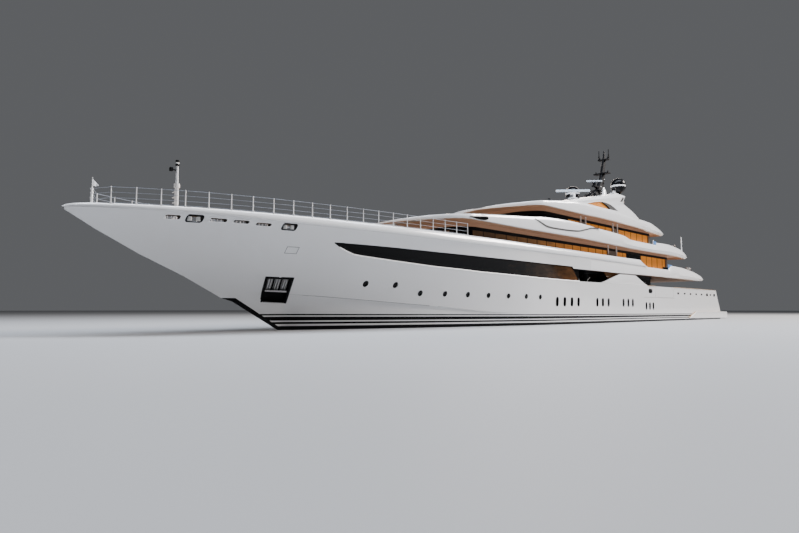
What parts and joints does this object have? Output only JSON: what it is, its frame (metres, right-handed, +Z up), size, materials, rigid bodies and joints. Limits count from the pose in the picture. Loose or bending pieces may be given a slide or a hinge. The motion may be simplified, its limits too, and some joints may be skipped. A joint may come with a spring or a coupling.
{
  "type": "motor yacht, 1:10 scale model",
  "caption": "Long white motor yacht with flared bow, dark window bands, stacked decks under an arch and raked mast, bow rail, swim platform, screws and rudders.",
  "frame": {"origin": "on the centreline at the painted waterline, halfway along the length overall", "axes": "+X forward to the bow, +Y to port, +Z up"},
  "size_m": [8.738, 1.276, 2.654],
  "materials": {
    "hull_white": "high gloss",
    "gloss_white": "high gloss",
    "taupe_paint": "satin metallic",
    "black_paint": "gloss",
    "dark_glass": "tinted, gloss",
    "lit_glass": "tinted, warm reflections",
    "white_plastic": "gloss",
    "black_plastic": "gloss",
    "polished_steel": "polished",
    "brushed_steel": "brushed",
    "bronze": "cast bronze",
    "antifouling": "matt",
    "cloth": "woven"
  },
  "bodies": {
    "yacht": {"hull_bow": "hull_white", "hull_midships": "hull_white", "hull_stern": "hull_white", "sheer_cap": "gloss_white", "window_band_port": "dark_glass", "window_band_stbd": "dark_glass", "anchor_pocket_liner_port": "black_paint", "anchor_pocket_liner_stbd": "black_paint", "upper_deck": "gloss_white", "bridge_deck": "gloss_white", "sun_deck": "gloss_white", "bridge_bulwark_port": "gloss_white", "bridge_bulwark_stbd": "gloss_white", "main_house": "taupe_paint", "main_glazing": "lit_glass", "upper_house": "taupe_paint", "upper_glazing": "lit_glass", "bridge_house": "taupe_paint", "bridge_glazing": "lit_glass", "bulwark_wing_port": "gloss_white", "bulwark_wing_stbd": "gloss_white", "side_pane_port": "dark_glass", "side_pane_stbd": "dark_glass", "arch_fin_port": "gloss_white", "arch_fin_stbd": "gloss_white", "hardtop": "gloss_white", "casing": "gloss_white", "radar_mast": "black_paint", "mast_fairing": "gloss_white", "radar_pedestal_s": "gloss_white", "satellite_dome_port": "black_plastic", "satellite_dome_stbd": "black_plastic", "bow_rail": "polished_steel", "jackstaff": "gloss_white", "pennant": "cloth", "foremast": "gloss_white", "windlass_port": "polished_steel", "windlass_stbd": "polished_steel", "ensign_staff": "gloss_white", "swim_platform": "gloss_white", "shaft_bracket_port": "brushed_steel", "shaft_bracket_stbd": "brushed_steel", "upper_stern_rail": "polished_steel", "bridge_stern_rail": "polished_steel"},
    "radar_x": {"radar_scanner_x": "white_plastic"},
    "radar_s": {"radar_scanner_s": "white_plastic"},
    "screw_port": {"propeller_port": "bronze"},
    "screw_stbd": {"propeller_stbd": "bronze"},
    "rudder_port": {"rudder_port": "antifouling"},
    "rudder_stbd": {"rudder_stbd": "antifouling"},
    "fin_port": {"stabiliser_fin_port": "antifouling"},
    "fin_stbd": {"stabiliser_fin_stbd": "antifouling"},
    "bulwark_door_port": {"bulwark_door_port": "hull_white"},
    "bulwark_door_stbd": {"bulwark_door_stbd": "hull_white"},
    "club_door": {"beach_club_door": "gloss_white"},
    "main_leaf_port": {"main_saloon_door_port": "dark_glass"},
    "main_leaf_stbd": {"main_saloon_door_stbd": "dark_glass"},
    "upper_leaf_port": {"upper_saloon_door_port": "dark_glass"},
    "upper_leaf_stbd": {"upper_saloon_door_stbd": "dark_glass"}
  },
  "joints": [
    {"name": "radar_x_spin", "type": "hinge", "parent": "yacht", "child": "radar_x", "pos_m": [-1.46, 0, 1.75], "axis": [0, 0, 1], "continuous": true},
    {"name": "radar_s_spin", "type": "hinge", "parent": "yacht", "child": "radar_s", "pos_m": [-0.925, 0, 1.55], "axis": [0, 0, 1], "continuous": true},
    {"name": "screw_port_spin", "type": "hinge", "parent": "yacht", "child": "screw_port", "pos_m": [-3.365, 0.275, -0.29], "axis": [0.9989, 0, 0.0478], "continuous": true},
    {"name": "rudder_port_turn", "type": "hinge", "parent": "yacht", "child": "rudder_port", "pos_m": [-3.645, 0.275, -0.132], "axis": [0, 0, 1], "range_deg": [-35, 35]},
    {"name": "fin_port_turn", "type": "hinge", "parent": "yacht", "child": "fin_port", "pos_m": [-0.145, 0.522, -0.306], "axis": [0, 0.7071, -0.7071], "range_deg": [-30, 30]},
    {"name": "bulwark_door_port_hinge", "type": "hinge", "parent": "yacht", "child": "bulwark_door_port", "pos_m": [-1.955, 0.6201, 0.2862], "axis": [-1, 0, 0], "range_deg": [0, 90]},
    {"name": "main_leaf_port_slide", "type": "slide", "parent": "yacht", "child": "main_leaf_port", "axis": [0, 1, 0], "range_m": [0, 0.13]},
    {"name": "upper_leaf_port_slide", "type": "slide", "parent": "yacht", "child": "upper_leaf_port", "axis": [0, 1, 0], "range_m": [0, 0.13]},
    {"name": "screw_stbd_spin", "type": "hinge", "parent": "yacht", "child": "screw_stbd", "pos_m": [-3.365, -0.275, -0.29], "axis": [0.9989, 0, 0.0478], "continuous": true},
    {"name": "rudder_stbd_turn", "type": "hinge", "parent": "yacht", "child": "rudder_stbd", "pos_m": [-3.645, -0.275, -0.132], "axis": [0, 0, 1], "range_deg": [-35, 35]},
    {"name": "fin_stbd_turn", "type": "hinge", "parent": "yacht", "child": "fin_stbd", "pos_m": [-0.145, -0.522, -0.306], "axis": [0, -0.7071, -0.7071], "range_deg": [-30, 30]},
    {"name": "bulwark_door_stbd_hinge", "type": "hinge", "parent": "yacht", "child": "bulwark_door_stbd", "pos_m": [-1.955, -0.6201, 0.2862], "axis": [1, 0, 0], "range_deg": [0, 90]},
    {"name": "main_leaf_stbd_slide", "type": "slide", "parent": "yacht", "child": "main_leaf_stbd", "axis": [0, -1, 0], "range_m": [0, 0.13]},
    {"name": "upper_leaf_stbd_slide", "type": "slide", "parent": "yacht", "child": "upper_leaf_stbd", "axis": [0, -1, 0], "range_m": [0, 0.13]},
    {"name": "club_door_hinge", "type": "hinge", "parent": "yacht", "child": "club_door", "pos_m": [-3.91829, 0, 0.2716], "axis": [0, 1, 0], "range_deg": [0, 80]}
  ]
}
